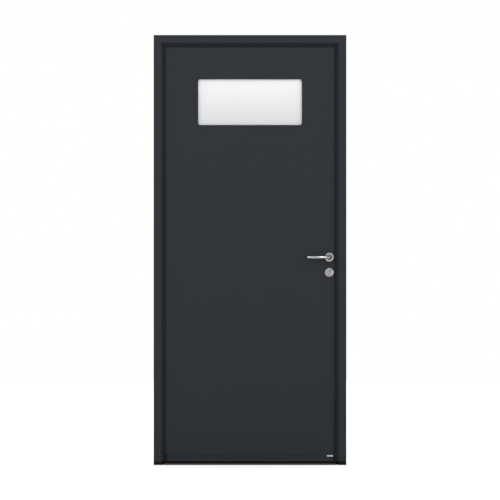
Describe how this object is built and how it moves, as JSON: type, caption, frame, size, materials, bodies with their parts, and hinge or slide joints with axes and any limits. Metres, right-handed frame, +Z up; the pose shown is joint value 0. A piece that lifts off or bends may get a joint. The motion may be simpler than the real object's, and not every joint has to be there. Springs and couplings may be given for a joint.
{
  "type": "steel utility door",
  "caption": "Insulated steel utility door with a small frosted light, lever handle and drip bar, hung inward-opening in its steel frame.",
  "frame": {"origin": "on the floor under the middle of the sill, half way through the depth of the frame", "axes": "+Z up the door, +X to the right seen from outdoors (handle side), -Y outdoors and +Y indoors"},
  "size_m": [0.982, 0.1684, 2.191],
  "materials": {
    "frame_paint": "satin polyester powder coat, anthracite grey",
    "door_paint": "satin polyester powder coat, anthracite grey",
    "drip_paint": "satin powder coat on extruded aluminium",
    "bead_paint": "satin powder coat on extruded aluminium",
    "black_plastic": "moulded, matt",
    "black_rubber": "extruded EPDM, matt",
    "dark_anodised": "dark bronze anodised, satin",
    "foam": "cut polyurethane foam",
    "frosted_glass": "sandblasted on its inner face",
    "clear_glass": "float glass",
    "spacer_metal": "mill finish, roll formed",
    "plated_steel": "bright zinc plated",
    "hinge_steel": "satin powder coat on steel",
    "satin_stainless": "fine satin brushed stainless",
    "satin_nickel": "satin nickel plated brass"
  },
  "bodies": {
    "frame": {"jamb_left": "frame_paint", "jamb_right": "frame_paint", "frame_head": "frame_paint", "strike_plate": "plated_steel", "foot_left": "black_plastic", "foot_right": "black_plastic", "sill": "dark_anodised", "seal_left": "black_rubber", "seal_right": "black_rubber", "seal_head": "black_rubber", "seal_sill": "black_rubber", "hinge_low_frame_half": "hinge_steel", "hinge_middle_frame_half": "hinge_steel", "hinge_top_frame_half": "hinge_steel"},
    "leaf": {"leaf_skin_outside": "door_paint", "leaf_skin_inside": "door_paint", "leaf_edge_strip": "black_plastic", "leaf_core": "foam", "glazing_rim_outside": "black_rubber", "glass_outside": "frosted_glass", "glass_spacer": "spacer_metal", "glass_inside": "clear_glass", "glazing_seal_inside": "black_rubber", "glazing_bead_inside": "bead_paint", "drip_bar": "drip_paint", "drip_cap_left": "black_plastic", "drip_cap_right": "black_plastic", "lock_case": "plated_steel", "lock_faceplate": "plated_steel", "latch": "plated_steel", "dead_bolt": "plated_steel", "key_cylinder": "satin_nickel", "rose_outside": "satin_stainless", "rose_inside": "satin_stainless", "key_rose_outside": "satin_stainless", "key_rose_inside": "satin_stainless", "hinge_low_leaf_half": "hinge_steel", "hinge_middle_leaf_half": "hinge_steel", "hinge_top_leaf_half": "hinge_steel"},
    "handle": {"lever_outside": "satin_stainless", "lever_inside": "satin_stainless", "spindle": "plated_steel"}
  },
  "joints": [
    {"name": "leaf_swing", "type": "hinge", "parent": "frame", "child": "leaf", "pos_m": [-0.4535, 0.047, 1.08], "axis": [0, 0, 1], "range_deg": [0, 110]},
    {"name": "lever_turn", "type": "hinge", "parent": "leaf", "child": "handle", "pos_m": [0.405, 0.012, 1.059], "axis": [0, -1, 0], "range_deg": [0, 45], "stiffness_Nm_per_rad": 1.2, "springref_deg": -40.11}
  ]
}
